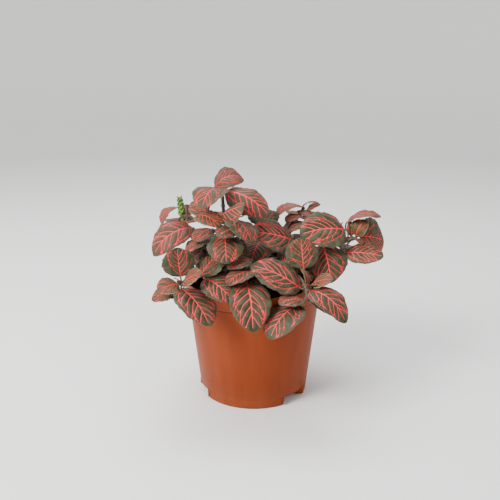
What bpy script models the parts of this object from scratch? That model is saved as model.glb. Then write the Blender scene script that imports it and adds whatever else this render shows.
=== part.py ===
"""Nerve plant in a terracotta-coloured nursery pot: pot, soil, stems, flower spike and leaves.

The pot's axis is Z, its flat underside is at z = 0, and -Y is the front.
"""

import math

import bmesh
import bpy
import numpy as np

MM = 0.001
COLLECTION = "potted_nerve_plant"

# Pot
POT_HEIGHT = 103.5 * MM
RIM_RADIUS = 60.0 * MM
BASE_RADIUS = 46.9 * MM
WALL = 1.3 * MM
RIM_BAND_HEIGHT = 13.0 * MM
RIM_STEP = 1.0 * MM
RIM_DRAFT = 1.2 * MM
EDGE_ROUND = 0.45 * MM
POT_STEPS = 48

# Underside: a raised ring floor drains through notches in the skirt, round a flat centre pad
FLOOR_RISE = 8.0 * MM
PAD_RADIUS = 20.0 * MM
PAD_SLOPE = 3.0 * MM
NOTCH_COUNT = 3
NOTCH_WIDTH = 27.0 * MM
NOTCH_DEPTH = 5.5 * MM
NOTCH_TAPER = 0.6
NOTCH_FIRST_ANGLE = -42.0
DRAIN_COUNT = 6
DRAIN_RADIUS = 3.0 * MM
DRAIN_RING_RADIUS = 34.0 * MM

# Soil
GAP = 0.3 * MM
SOIL_DROP = 14.0 * MM
SOIL_CROWN = 4.0 * MM
SOIL_STEPS = 36

# Plant
STEM_RADIUS = 1.5 * MM
STEM_TIP_SHARE = 0.6
STEM_BURIED = 18.0 * MM
STEM_SAMPLES = 3
LEAF_THICKNESS = 0.6 * MM
STALK_WIDTH = 1.7 * MM
LEAF_TIP_WIDTH = 0.8 * MM
EDGE_DROOP = 0.16
SPIKE_LENGTH = 21.0 * MM
SPIKE_RADIUS = 3.6 * MM
SPIKE_TIERS = 5
SPIKE_LEAN = 7.0

# Rows of a leaf: shares of the stalk, then shares of the blade; columns run edge to edge
STALK_ROWS = (0.0, 0.5)
BLADE_ROWS = (0.0, 0.07, 0.2, 0.36, 0.52, 0.68, 0.84, 1.0)
LEAF_COLUMNS = 5

# The plant is set out in millimetres from the centre of a rim of this radius, and grows with it
PLANTED_RIM_RADIUS = 60.0

# Each stem: where it leaves the soil, then the points it passes, above the rim's plane
STEMS = {
    "stem_top": ((-12, 6), [(-18, 5, 15), (-25, 3, 50), (-27, 1, 77)]),
    "stem_spike": ((-28, 10), [(-42, 8, 14), (-56, 4, 38), (-61, 2, 51)]),
    "stem_middle": ((-16, -10), [(-22, -10, 14), (-29, -12, 38), (-30, -15, 56)]),
    "stem_left": ((-30, -16), [(-38, -24, 10), (-51, -38, 12), (-59, -46, 7)]),
    "stem_front": ((-4, -22), [(-6, -26, 8), (-8, -33, 14), (-8, -42, 11)]),
    "stem_low": ((24, -20), [(30, -28, 10), (38, -42, 10), (42, -50, 4)]),
    "stem_centre": ((12, -4), [(20, -6, 14), (32, -12, 26), (42, -14, 30)]),
    "stem_right": ((34, 6), [(50, 4, 16), (72, 1, 28), (88, 0, 34)]),
    "stem_back": ((20, 24), [(28, 28, 20), (38, 31, 42), (45, 33, 54)]),
    "stem_rear": ((-12, 28), [(-13, 36, 14), (-16, 46, 30), (-18, 52, 42)]),
}

# Each leaf: how far up its stem the stalk starts (0 to 1), blade base, tip, width, roll (degrees
# about the midrib, right side down as seen from the stem), arch (rise of the midrib's middle over
# its length) and fold (degrees that each half rises from the midrib)
LEAVES = {
    "stem_top": [
        (0.99, (-33, 4, 78), (-9, 12, 83), 20, 40, 0.35, 8),
        (0.98, (-28, -4, 77), (-42, -29, 66), 29, 0, 0.22, 10),
        (0.96, (-23, -3, 75), (13, -18, 57), 27, 32, 0.18, -12),
    ],
    "stem_spike": [
        (0.97, (-66, 14, 58), (-79, 2, 45), 16, -20, 0.28, 8),
        (0.80, (-52, -4, 44), (-84, -20, 24), 22, -5, 0.26, 6),
        (0.85, (-58, 12, 44), (-70, 46, 34), 28, 0, 0.15, 8),
    ],
    "stem_middle": [
        (0.97, (-39, -8, 58), (-54, 2, 64), 17, -35, 0.1, 10),
        (0.96, (-47, -18, 58), (-27, -34, 52), 18, 20, 0.15, 8),
        (0.98, (-28, -22, 58), (-8, -36, 70), 20, 45, 0.05, -20),
        (0.88, (-16, -26, 53), (-2, -44, 41), 28, -5, 0.12, 6),
        (0.78, (-35, -16, 46), (-48, -30, 38), 20, 0, 0.15, 8),
    ],
    "stem_left": [
        (0.97, (-59, -46, 14), (-62, -38, 36), 25, 0, -0.05, 8),
        (0.70, (-43, -41, 13), (-27, -29, 29), 31, 0, 0.08, 6),
        (0.99, (-61, -48, 8), (-76, -58, 6), 18, -25, 0.1, 12),
        (0.85, (-63, -42, 0), (-82, -50, -5), 20, -10, 0.12, 8),
        (0.99, (-56, -53, 11), (-41, -61, 21), 17, 35, 0.1, 10),
        (0.97, (-58, -50, 5), (-34, -80, -15), 29, 0, 0.1, 8),
    ],
    "stem_front": [
        (0.45, (-40, -20, 37), (-55, -30, 30), 20, 0, 0.15, 8),
        (0.60, (-24, -30, 43), (-22, -54, 27), 27, 0, 0.1, 6),
        (0.85, (-39, -46, 12), (-16, -66, 0), 24, 20, 0.12, 8),
        (0.99, (-6, -52, 11), (-1, -82, -19), 30, 0, 0.16, 8),
        (0.75, (-3, -38, 26), (-22, -46, 21), 20, -10, 0.12, 6),
        (0.90, (-2, -46, 19), (-21, -62, 12), 22, 0, 0.12, 6),
    ],
    "stem_low": [
        (0.90, (35, -60, -5), (12, -84, -24), 31, 0, 0.15, 8),
        (0.96, (37, -52, 6), (-3, -48, 24), 32, -25, 0.08, 8),
        (0.99, (43, -57, 6), (70, -78, -13), 25, 10, 0.2, 8),
        (0.99, (47, -49, 9), (62, -57, 15), 16, 25, 0.1, 8),
        (0.85, (44, -50, -2), (59, -56, -13), 20, 0, 0.12, 8),
        (0.99, (38, -62, 0), (19, -72, 0), 18, -10, 0.1, 8),
    ],
    "stem_centre": [
        (0.85, (32, -6, 34), (-2, -24, 45), 32, -40, 0.06, 8),
        (0.97, (40, -40, 19), (38, -28, 42), 27, 0, 0.0, 8),
        (0.97, (58, -8, 32), (67, -30, 4), 34, -15, 0.12, -22),
        (0.70, (7, 0, 32), (-2, -24, 20), 30, 0, 0.12, 8),
    ],
    "stem_right": [
        (0.90, (77, -5, 43), (38, -20, 42), 34, -40, 0.1, 8),
        (0.97, (80, 1, 48), (107, -8, 54), 17, 8, 0.2, 8),
        (0.99, (91, -4, 36), (113, 12, 27), 35, 58, 0.3, 6),
        (0.93, (78, -14, 25), (107, -26, 25), 22, 30, 0.05, 8),
        (0.45, (62, 10, 24), (86, 36, 12), 28, 0, 0.15, 8),
    ],
    "stem_back": [
        (0.60, (10, 4, 44), (6, 20, 56), 26, 0, 0.1, 8),
        (0.97, (44, 30, 55), (19, 18, 49), 18, 0, 0.2, 8),
        (0.92, (44, 40, 44), (50, 74, 34), 30, 0, 0.15, 8),
        (0.55, (36, 38, 26), (32, 68, 8), 30, 0, 0.15, 8),
    ],
    "stem_rear": [
        (0.98, (-22, 57, 42), (-36, 86, 30), 30, 0, 0.15, 8),
        (0.97, (-9, 54, 42), (13, 80, 34), 28, 0, 0.15, 8),
        (0.60, (-22, 48, 24), (-46, 70, 10), 30, 0, 0.15, 8),
        (0.65, (-12, 50, 22), (8, 78, 4), 30, 0, 0.15, 8),
    ],
}


def plant_scale():
    """Metres for each millimetre that the plant is set out in."""
    return RIM_RADIUS / PLANTED_RIM_RADIUS


def band_z():
    return POT_HEIGHT - RIM_BAND_HEIGHT


def wall_top_radius():
    """Outer radius of the wall just under the rim band."""
    return RIM_RADIUS - RIM_DRAFT - RIM_STEP


def wall_radius(z):
    """Outer radius of the tapered wall at a height below the rim band."""
    return BASE_RADIUS + (wall_top_radius() - BASE_RADIUS) * z / band_z()


def soil_level():
    return POT_HEIGHT - SOIL_DROP


def unit(vector):
    return vector / np.linalg.norm(vector)


def material(name, colour, roughness):
    made = bpy.data.materials.new(name)
    made.use_nodes = True
    shader = made.node_tree.nodes["Principled BSDF"]
    shader.inputs["Base Color"].default_value = (*colour, 1.0)
    shader.inputs["Roughness"].default_value = roughness
    shader.inputs["Metallic"].default_value = 0.0
    return made


def make_materials():
    return {
        "pot": material("terracotta_plastic", (0.42, 0.13, 0.05), 0.45),
        "soil": material("potting_soil", (0.03, 0.02, 0.015), 0.95),
        "stem": material("brown_green_stem", (0.10, 0.08, 0.04), 0.6),
        "leaf": material("veined_leaf", (0.09, 0.13, 0.07), 0.5),
        "spike": material("green_bracts", (0.12, 0.26, 0.03), 0.5),
    }


def make_collection(name, hidden=False):
    made = bpy.data.collections.new(name)
    made.hide_render = hidden
    bpy.context.scene.collection.children.link(made)
    return made


def add_object(name, data, collection, surface=None, parent=None, place=(0, 0, 0)):
    made = bpy.data.objects.new(name, data)
    collection.objects.link(made)
    made.location = place
    made.parent = parent
    if surface:
        data.materials.append(surface)
    return made


def add_cutter(name, mesh, cutters):
    made = add_object(name, mesh, cutters)
    made.hide_render = True
    made.display_type = "WIRE"
    return made


def boolean(target, name, operation, other):
    modifier = target.modifiers.new(name, "BOOLEAN")
    modifier.operation = operation
    modifier.solver = "EXACT"
    modifier.object = other


def turned(name, profile, steps, collection, surface, parent=None, place=(0, 0, 0)):
    """A profile of (radius, z) points turned round Z. It runs down the outer side."""
    mesh = bpy.data.meshes.new(name)
    points = [(radius, 0.0, z) for radius, z in profile]
    mesh.from_pydata(points, [(i, i + 1) for i in range(len(points) - 1)], [])
    made = add_object(name, mesh, collection, surface, parent, place)
    screw = made.modifiers.new("turn", "SCREW")
    screw.steps = steps
    screw.render_steps = steps
    screw.use_merge_vertices = True
    screw.merge_threshold = 0.00001
    screw.use_smooth_shade = True
    return made


def pot_profile():
    """From the middle of the inner floor up the inner wall, over the lip and down the outside."""
    floor = FLOOR_RISE + WALL
    band = band_z()
    band_radius = wall_top_radius() + RIM_STEP
    inner = [
        (0.0, WALL),
        (PAD_RADIUS - WALL, WALL),
        (PAD_RADIUS + PAD_SLOPE - WALL, floor),
        (wall_radius(floor) - WALL, floor),
        (wall_top_radius() - WALL, band),
        (band_radius - WALL, band + RIM_STEP),
    ]
    lip = [
        (RIM_RADIUS - WALL, POT_HEIGHT - EDGE_ROUND),
        (RIM_RADIUS - WALL + EDGE_ROUND, POT_HEIGHT),
        (RIM_RADIUS - EDGE_ROUND, POT_HEIGHT),
        (RIM_RADIUS, POT_HEIGHT - EDGE_ROUND),
    ]
    outer = [
        (band_radius, band),
        (wall_top_radius(), band - RIM_STEP),
        (wall_radius(EDGE_ROUND), EDGE_ROUND),
        (BASE_RADIUS - EDGE_ROUND, 0.0),
        (BASE_RADIUS - WALL, 0.0),
        (wall_radius(FLOOR_RISE) - WALL, FLOOR_RISE),
        (PAD_RADIUS + PAD_SLOPE, FLOOR_RISE),
        (PAD_RADIUS, 0.0),
        (0.0, 0.0),
    ]
    return inner + lip + outer


def notch_end():
    """Radius where the notch's flanges end under the floor."""
    return BASE_RADIUS - NOTCH_DEPTH


def notch_blocks(name, grow, radii, heights):
    """A block at each notch, narrower towards the pot's axis and wider by grow on each side."""
    mesh = bmesh.new()
    for number in range(NOTCH_COUNT):
        angle = math.radians(NOTCH_FIRST_ANGLE + 360.0 / NOTCH_COUNT * number)
        outward = np.array([math.cos(angle), math.sin(angle), 0.0])
        across = np.array([-math.sin(angle), math.cos(angle), 0.0])
        for vert in bmesh.ops.create_cube(mesh, size=1.0)["verts"]:
            reach = radii[0] if vert.co.x < 0 else radii[1]
            height = heights[0] if vert.co.z < 0 else heights[1]
            taper = NOTCH_TAPER + (1 - NOTCH_TAPER) * (reach - notch_end()) / NOTCH_DEPTH
            wide = NOTCH_WIDTH * taper / 2 + grow
            vert.co = outward * reach + across * math.copysign(wide, vert.co.y)
            vert.co.z = height
    made = bpy.data.meshes.new(name)
    mesh.to_mesh(made)
    mesh.free()
    return made


def cylinders(name, places, radius, low, high, sides):
    """Upright cylinders at (x, y) places, as one mesh of separate bodies."""
    mesh = bmesh.new()
    for x, y in places:
        made = bmesh.ops.create_cone(
            mesh, cap_ends=True, segments=sides, radius1=radius, radius2=radius, depth=high - low
        )
        bmesh.ops.translate(mesh, verts=made["verts"], vec=(x, y, (low + high) / 2))
    data = bpy.data.meshes.new(name)
    mesh.to_mesh(data)
    mesh.free()
    return data


def make_pot(parts, cutters, surfaces):
    pot = turned("pot", pot_profile(), POT_STEPS, parts, surfaces["pot"])
    flange_reach = (notch_end(), BASE_RADIUS - WALL / 2)
    flanges = notch_blocks("notch_flanges", WALL, flange_reach, (0.0, FLOOR_RISE + WALL / 2))
    boolean(pot, "flanges", "UNION", add_cutter("notch_flanges", flanges, cutters))
    notch_reach = (notch_end() - WALL, BASE_RADIUS + 2 * RIM_STEP)
    notches = notch_blocks("notches", 0.0, notch_reach, (-FLOOR_RISE, FLOOR_RISE))
    boolean(pot, "notches", "DIFFERENCE", add_cutter("notches", notches, cutters))
    ring = [
        (DRAIN_RING_RADIUS * math.cos(turn), DRAIN_RING_RADIUS * math.sin(turn))
        for turn in np.arange(DRAIN_COUNT) * math.tau / DRAIN_COUNT
    ]
    drains = cylinders("drains", ring, DRAIN_RADIUS, 0.0, FLOOR_RISE + 2 * WALL, 10)
    boolean(pot, "drain_holes", "DIFFERENCE", add_cutter("drains", drains, cutters))
    return pot


def stem_places():
    """Where each stem leaves the soil, as (x, y)."""
    return [(x * plant_scale(), y * plant_scale()) for (x, y), _ in STEMS.values()]


def make_soil(parts, cutters, surfaces):
    """Fills the pot from just above the raised floor to a crowned surface below the rim."""
    low = FLOOR_RISE + WALL + GAP
    level = soil_level()
    profile = [
        (0.0, level + SOIL_CROWN),
        (0.45 * wall_radius(level), level + 0.8 * SOIL_CROWN),
        (0.8 * wall_radius(level), level + 0.3 * SOIL_CROWN),
        (wall_radius(level) - WALL - GAP, level),
        (wall_radius(low) - WALL - GAP, low),
        (0.0, low),
    ]
    soil = turned("soil", profile, SOIL_STEPS, parts, surfaces["soil"])
    low_end = level - STEM_BURIED - GAP
    holes = cylinders(
        "planting_holes", stem_places(), STEM_RADIUS + GAP, low_end, POT_HEIGHT, 10
    )
    boolean(soil, "planting_holes", "DIFFERENCE", add_cutter("planting_holes", holes, cutters))
    return soil


def curve_through(points, samples):
    """Points of a smooth Catmull-Rom curve through the given ones."""
    ends = np.vstack([2 * points[0] - points[1], points, 2 * points[-1] - points[-2]])
    found = []
    for p0, p1, p2, p3 in zip(ends, ends[1:], ends[2:], ends[3:]):
        for t in np.arange(samples) / samples:
            found.append(
                0.5
                * (
                    2 * p1
                    + (p2 - p0) * t
                    + (2 * p0 - 5 * p1 + 4 * p2 - p3) * t**2
                    + (3 * p1 - p0 - 3 * p2 + p3) * t**3
                )
            )
    return np.array(found + [points[-1]])


def stem_points(name):
    """The stem's axis from its foot in the soil to its tip, from the rim's centre."""
    (x, y), above = STEMS[name]
    surface = soil_level() - POT_HEIGHT
    x, y = x * plant_scale(), y * plant_scale()
    foot = [(x, y, surface - STEM_BURIED), (x, y, surface + SOIL_CROWN)]
    shoot = np.array(above, float) * plant_scale()
    return np.vstack([foot[:1], curve_through(np.vstack([foot[1:], shoot]), STEM_SAMPLES)])


def point_on(points, share):
    """The place and direction at a share of the length from the curve's first bend."""
    steps = np.linalg.norm(np.diff(points, axis=0), axis=1)
    along = np.concatenate([[0.0], np.cumsum(steps)])
    want = along[1] + share * (along[-1] - along[1])
    place = np.array([np.interp(want, along, points[:, axis]) for axis in range(3)])
    index = min(int(np.searchsorted(along, want, side="right")) - 1, len(steps) - 1)
    return place, unit(points[index + 1] - points[index])


def make_stem(name, parts, surfaces, rim):
    points = stem_points(name)
    curve = bpy.data.curves.new(name, "CURVE")
    curve.dimensions = "3D"
    curve.bevel_depth = STEM_RADIUS
    curve.bevel_resolution = 2
    curve.use_fill_caps = True
    spline = curve.splines.new("POLY")
    spline.points.add(len(points) - 1)
    for number, (spot, point) in enumerate(zip(spline.points, points)):
        spot.co = (*point, 1.0)
        spot.radius = 1.0 - (1.0 - STEM_TIP_SHARE) * number / (len(points) - 1)
    return add_object(name, curve, parts, surfaces["stem"], rim)


def half_width(share):
    """Half of an ovate blade's width, as a share of its widest half, from base to tip."""
    base, tip = 0.5, 0.55
    widest = base / (base + tip)
    return (share / widest) ** base * ((1 - share) / (1 - widest)) ** tip


def leaf_frame(base, tip, roll):
    """Along the midrib, across to the leaf's left, and out of its upper face."""
    along = unit(tip - base)
    up = np.array([0.0, 0.0, 1.0])
    normal = unit(up - along * (up @ along))
    across = np.cross(normal, along)
    turn = math.radians(roll)
    return along, across * math.cos(turn) + normal * math.sin(turn), (
        normal * math.cos(turn) - across * math.sin(turn)
    )


def leaf_rows(stem, leaf):
    """Rows of points across a leaf, from the stalk's start to the tip, from the rim's centre."""
    share, base, tip, width, roll, arch, fold = leaf
    base = np.array(base, float) * plant_scale()
    tip = np.array(tip, float) * plant_scale()
    wide = width * plant_scale() / 2
    along, across, normal = leaf_frame(base, tip, roll)
    length = np.linalg.norm(tip - base)
    start, stem_way = point_on(stem_points(stem), share)
    away = base - start
    outward = unit(away - stem_way * (away @ stem_way))
    start = start + outward * (STEM_RADIUS + GAP + LEAF_THICKNESS / 2)
    bend = base - (along + 4 * arch * normal) * 0.4 * np.linalg.norm(base - start)
    rows = []
    for t in STALK_ROWS:
        centre = start * (1 - t) ** 2 + 2 * bend * t * (1 - t) + base * t**2
        way = (bend - start) * (1 - t) + (base - bend) * t
        rows.append((centre, way, STALK_WIDTH / 2, 0.0))
    for u in BLADE_ROWS:
        centre = base + along * length * u + normal * 4 * arch * length * u * (1 - u)
        way = along + normal * 4 * arch * (1 - 2 * u)
        half = max(wide * half_width(u), (STALK_WIDTH if u < 0.5 else LEAF_TIP_WIDTH) / 2)
        rows.append((centre, way, half, math.tan(math.radians(fold))))
    grid = []
    for centre, way, half, rise in rows:
        way = unit(way)
        side = unit(across - way * (across @ way))
        out = np.cross(way, side)
        for v in np.linspace(1, -1, LEAF_COLUMNS):
            lift = half * (rise * abs(v) - (EDGE_DROOP * v**2 if rise else 0.0))
            grid.append(centre + side * half * v + out * lift)
    return np.array(grid).reshape(len(rows), LEAF_COLUMNS, 3)


def make_leaf(name, stem, leaf, parts, surfaces, rim):
    rows = leaf_rows(stem, leaf)
    origin = rows[len(STALK_ROWS), LEAF_COLUMNS // 2]
    mesh = bmesh.new()
    bmesh.ops.create_grid(
        mesh, x_segments=len(rows) - 1, y_segments=LEAF_COLUMNS - 1, size=1.0
    )
    for vert in mesh.verts:
        row = round((vert.co.x + 1) / 2 * (len(rows) - 1))
        column = round((1 - vert.co.y) / 2 * (LEAF_COLUMNS - 1))
        vert.co = rows[row, column] - origin
    for face in mesh.faces:
        face.smooth = True
    data = bpy.data.meshes.new(name)
    mesh.to_mesh(data)
    mesh.free()
    made = add_object(name, data, parts, surfaces["leaf"], rim, origin)
    shell = made.modifiers.new("thickness", "SOLIDIFY")
    shell.thickness = LEAF_THICKNESS
    shell.offset = 0.0
    return made


def make_spike(parts, surfaces, rim):
    """A tapering flower spike of overlapping bracts, in tiers, standing on its stem's tip."""
    tip, _ = point_on(stem_points("stem_spike"), 1.0)
    tier = SPIKE_LENGTH / (SPIKE_TIERS + 1)
    profile = [(0.0, SPIKE_LENGTH)]
    for number in range(SPIKE_TIERS, 0, -1):
        radius = SPIKE_RADIUS * (1.0 - 0.1 * number)
        profile += [(radius, (number + 0.35) * tier), (0.55 * radius, number * tier)]
    profile += [(0.4 * SPIKE_RADIUS, 0.3 * tier), (0.3 * SPIKE_RADIUS, 0.0), (0.0, 0.0)]
    place = (tip[0], tip[1], tip[2] + GAP + STEM_RADIUS * STEM_TIP_SHARE)
    spike = turned("flower_spike", profile, 10, parts, surfaces["spike"], rim, place)
    spike.rotation_euler[1] = -math.radians(SPIKE_LEAN)
    return spike


def make_plant(parts, surfaces, rim):
    for stem in STEMS:
        make_stem(stem, parts, surfaces, rim)
        for number, leaf in enumerate(LEAVES.get(stem, []), start=1):
            name = f"{stem.replace('stem', 'leaf')}_{number}"
            make_leaf(name, stem, leaf, parts, surfaces, rim)
    make_spike(parts, surfaces, rim)


def main():
    for leftover in list(bpy.data.objects):
        bpy.data.objects.remove(leftover, do_unlink=True)
    parts = make_collection(COLLECTION)
    cutters = make_collection("cutters", hidden=True)
    surfaces = make_materials()
    make_pot(parts, cutters, surfaces)
    make_soil(parts, cutters, surfaces)
    rim = add_object("rim_centre", None, parts, place=(0.0, 0.0, POT_HEIGHT))
    make_plant(parts, surfaces, rim)


if __name__ == "__main__":
    main()
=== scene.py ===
import math

import bmesh
import bpy
import mathutils
import numpy as np
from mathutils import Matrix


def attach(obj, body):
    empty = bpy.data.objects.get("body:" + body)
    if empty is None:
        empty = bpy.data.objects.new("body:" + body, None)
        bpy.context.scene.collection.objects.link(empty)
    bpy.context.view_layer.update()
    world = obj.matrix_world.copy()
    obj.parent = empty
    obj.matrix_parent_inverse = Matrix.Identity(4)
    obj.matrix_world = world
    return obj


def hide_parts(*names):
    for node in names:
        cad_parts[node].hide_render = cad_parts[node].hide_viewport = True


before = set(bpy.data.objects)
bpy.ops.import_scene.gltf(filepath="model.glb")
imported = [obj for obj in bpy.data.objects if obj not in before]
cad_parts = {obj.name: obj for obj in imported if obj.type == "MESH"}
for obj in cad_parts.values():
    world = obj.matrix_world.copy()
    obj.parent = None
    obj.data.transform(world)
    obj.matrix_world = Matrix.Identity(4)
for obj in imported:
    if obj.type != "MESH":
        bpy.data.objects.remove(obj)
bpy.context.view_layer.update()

mm = 0.001
scene = bpy.context.scene

# camera, lights and floor
studio = dict(
    cameraPlace=(-0.0033, -0.555, 0.2813),
    cameraTilt=74.45,  # degrees up from straight down
    lens=48.0,
    skyColour=(1.0, 1.0, 1.0),
    skyStrength=0.6,
    floorColour=(0.95, 0.95, 0.945),
    floorShade=(0.8, 0.8, 0.8),
    floorSteps=96,
    floorGap=0.0002,  # keeps the pot's foot clear of the floor
    aimHeight=0.1,
    sweep=[(0.5, 0.0), (1.4, 0.0), (1.9, 0.02), (2.3, 0.2), (2.5, 0.6), (2.55, 1.1), (2.55, 1.7)],
)

softBoxes = {
    "keyLight": dict(place=(-0.95, -0.75, 0.95), size=0.6, watts=34.0, colour=(1.0, 0.98, 0.95)),
    "fillLight": dict(place=(0.9, -0.8, 0.6), size=1.0, watts=1.5, colour=(0.95, 0.97, 1.0)),
    "topLight": dict(place=(-0.1, 0.35, 1.2), size=0.7, watts=12.0, colour=(1.0, 1.0, 1.0)),
}


def plug(tree, socket, value):  # links an output to the socket, or sets a plain value or colour on it
    if isinstance(value, bpy.types.NodeSocket):
        tree.links.new(value, socket)
    elif socket.type == "RGBA":
        socket.default_value = (*value, 1.0)
    else:
        socket.default_value = value


def add(tree, kind, inputs=None, **settings):  # one shader node, its sockets filled or linked
    node = tree.nodes.new("ShaderNode" + kind)
    for name, value in settings.items():
        setattr(node, name, value)
    for name, value in (inputs or {}).items():
        plug(tree, node.inputs[name], value)
    return node


def mixColours(tree, share, first, second):
    node = add(tree, "Mix", data_type="RGBA")
    for index, value in ((0, share), (6, first), (7, second)):  # the sockets that a colour mix uses
        plug(tree, node.inputs[index], value)
    return node.outputs[2]


def remap(tree, value, low, high, toLow=0.0, toHigh=1.0):
    ends = {"Value": value, "From Min": low, "From Max": high, "To Min": toLow, "To Max": toHigh}
    return add(tree, "MapRange", ends, interpolation_type="SMOOTHSTEP").outputs["Result"]


def noiseOf(tree, where, scale, detail=3.0, rough=0.55):
    inputs = {"Vector": where, "Scale": scale, "Detail": detail, "Roughness": rough}
    return add(tree, "TexNoise", inputs).outputs["Fac"]


def stretched(tree, where, scale):
    return add(tree, "Mapping", {"Vector": where, "Scale": scale}).outputs["Vector"]


def calc(tree, operation, first, second=0.0):
    node = add(tree, "Math", operation=operation)
    for index, value in enumerate((first, second)):
        plug(tree, node.inputs[index], value)
    return node.outputs[0]


def multiply(tree, first, second):
    return calc(tree, "MULTIPLY", first, second)


finishSockets = dict(
    roughness="Roughness",
    specular="Specular IOR Level",
    sheen="Sheen Weight",
    sheenRoughness="Sheen Roughness",
    sheenTint="Sheen Tint",
)


def attribute(tree, name):
    return add(tree, "Attribute", attribute_name=name).outputs["Fac"]


def newMaterial(name, **sockets):
    made = bpy.data.materials.new(name)
    made.use_nodes = True
    shader = made.node_tree.nodes["Principled BSDF"]
    for key, value in sockets.items():
        plug(made.node_tree, shader.inputs[finishSockets[key]], value)
    where = add(made.node_tree, "TexCoord").outputs["Object"]
    return made, made.node_tree, shader, where


def paint(tree, shader, colour):
    tree.links.new(colour, shader.inputs["Base Color"])


def bumpInto(tree, shader, height, strength, distance):
    bump = add(tree, "Bump", {"Height": height, "Strength": strength, "Distance": distance})
    tree.links.new(bump.outputs["Normal"], shader.inputs["Normal"])


def meshObject(name, points, faces, materials, faceSlots=None, attributes=None):
    mesh = bpy.data.meshes.new(name)
    mesh.from_pydata(np.asarray(points).tolist(), [], [list(map(int, f)) for f in faces])
    for finish in materials:
        mesh.materials.append(finish)
    if faceSlots is not None:
        mesh.polygons.foreach_set("material_index", np.asarray(faceSlots, np.int32))
    mesh.polygons.foreach_set("use_smooth", np.ones(len(mesh.polygons), bool))
    for key, values in (attributes or {}).items():
        layer = mesh.attributes.new(key, "FLOAT", "POINT")
        layer.data.foreach_set("value", np.asarray(values, np.float32))
    made = bpy.data.objects.new(name, mesh)
    scene.collection.objects.link(made)
    return made


def ringAt(radius, height, steps):
    turn = np.arange(steps) * math.tau / steps
    return np.stack([radius * np.cos(turn), radius * np.sin(turn), np.full(steps, height)], axis=1)


def closedRings(rings, first, last):  # body through rings of points, with a fan to a point at each end
    steps = len(rings[0])
    points = np.vstack([*rings, [first, last]])
    faces = ringFaces(len(rings), steps)
    centre, end = len(points) - 2, (len(rings) - 1) * steps
    for step in range(steps):
        after = (step + 1) % steps
        faces += [(centre, step, after), (centre + 1, end + after, end + step)]
    return points, faces


def ringFaces(rings, steps):
    faces = []
    for ring in range(rings - 1):
        for step in range(steps):
            a, b = ring * steps + step, ring * steps + (step + 1) % steps
            faces.append((a, a + steps, b + steps, b))
    return faces


def sheetFaces(rows, columns):  # top, underside and edge of a thin sheet, its underside points last
    count = rows * columns
    i, j = np.meshgrid(np.arange(rows - 1), np.arange(columns - 1), indexing="ij")
    a = (i * columns + j).ravel()
    top = np.stack([a, a + 1, a + columns + 1, a + columns], axis=1)
    ring = list(range(columns))
    ring += [row * columns + columns - 1 for row in range(1, rows)]
    ring += [(rows - 1) * columns + column for column in range(columns - 2, -1, -1)]
    ring += [row * columns for row in range(rows - 2, 0, -1)]
    ring = np.array(ring)
    after = np.roll(ring, -1)
    edge = np.stack([after, ring, ring + count, after + count], axis=1)
    return top, top[:, ::-1] + count, edge


def addPiece(made, slot, *nodes):  # part of the plant or the pot, standing for the CAD nodes named
    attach(made, "root")
    if nodes:
        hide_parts(*nodes)
    return made


def bakeModifiers(made):
    graph = bpy.context.evaluated_depsgraph_get()
    mesh = bpy.data.meshes.new_from_object(made.evaluated_get(graph))
    made.modifiers.clear()
    made.data = mesh


def markSharp(mesh, degrees):  # smooth shading that keeps real corners
    work = bmesh.new()
    work.from_mesh(mesh)
    for face in work.faces:
        face.smooth = True
    for edge in work.edges:
        edge.smooth = edge.calc_face_angle(0.0) < math.radians(degrees)
    work.to_mesh(mesh)
    work.free()


def makeStudio():
    camera = bpy.data.objects.new("studioCamera", bpy.data.cameras.new("studioCamera"))
    camera.data.lens = studio["lens"]
    camera.data.sensor_width = 36.0
    camera.data.clip_start = 0.01
    camera.location = studio["cameraPlace"]
    camera.rotation_euler = (math.radians(studio["cameraTilt"]), 0.0, 0.0)
    scene.collection.objects.link(camera)
    scene.camera = camera
    for name, box in softBoxes.items():
        lamp = bpy.data.lights.new(name, "AREA")
        lamp.size = box["size"]
        lamp.energy = box["watts"]
        lamp.color = box["colour"]
        holder = bpy.data.objects.new(name, lamp)
        holder.location = box["place"]
        aim = np.array([0.0, 0.0, studio["aimHeight"]]) - np.array(box["place"])
        holder.rotation_euler = (
            math.atan2(math.hypot(aim[0], aim[1]), -aim[2]),
            0.0,
            math.atan2(aim[1], aim[0]) - math.pi / 2,
        )
        scene.collection.objects.link(holder)
    sky = bpy.data.worlds.new("studioSky")
    sky.use_nodes = True
    back = sky.node_tree.nodes["Background"]
    plug(sky.node_tree, back.inputs["Color"], studio["skyColour"])
    plug(sky.node_tree, back.inputs["Strength"], studio["skyStrength"])
    scene.world = sky
    makeFloor()
    print("studio ready")


def makeFloor():  # a round floor that curves up behind
    finish, tree, shader, where = newMaterial("paleFloor", roughness=0.7)
    cloud = remap(tree, noiseOf(tree, where, 2.0), 0.3, 0.7, 0.0, 0.04)
    paint(tree, shader, mixColours(tree, cloud, studio["floorColour"], studio["floorShade"]))
    profile = smoothCurve(np.array([(r, 0.0, z) for r, z in studio["sweep"]]), 8)[:, [0, 2]]
    steps = studio["floorSteps"]
    rings = [ringAt(r, z, steps) for r, z in profile]
    middle = steps * len(rings)
    faces = [(middle, step, (step + 1) % steps) for step in range(steps)]
    faces += ringFaces(len(rings), steps)
    floor = meshObject("studioFloor", np.vstack([*rings, [(0, 0, 0)]]), faces, [finish])
    floor.location.z = -studio["floorGap"]


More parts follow.
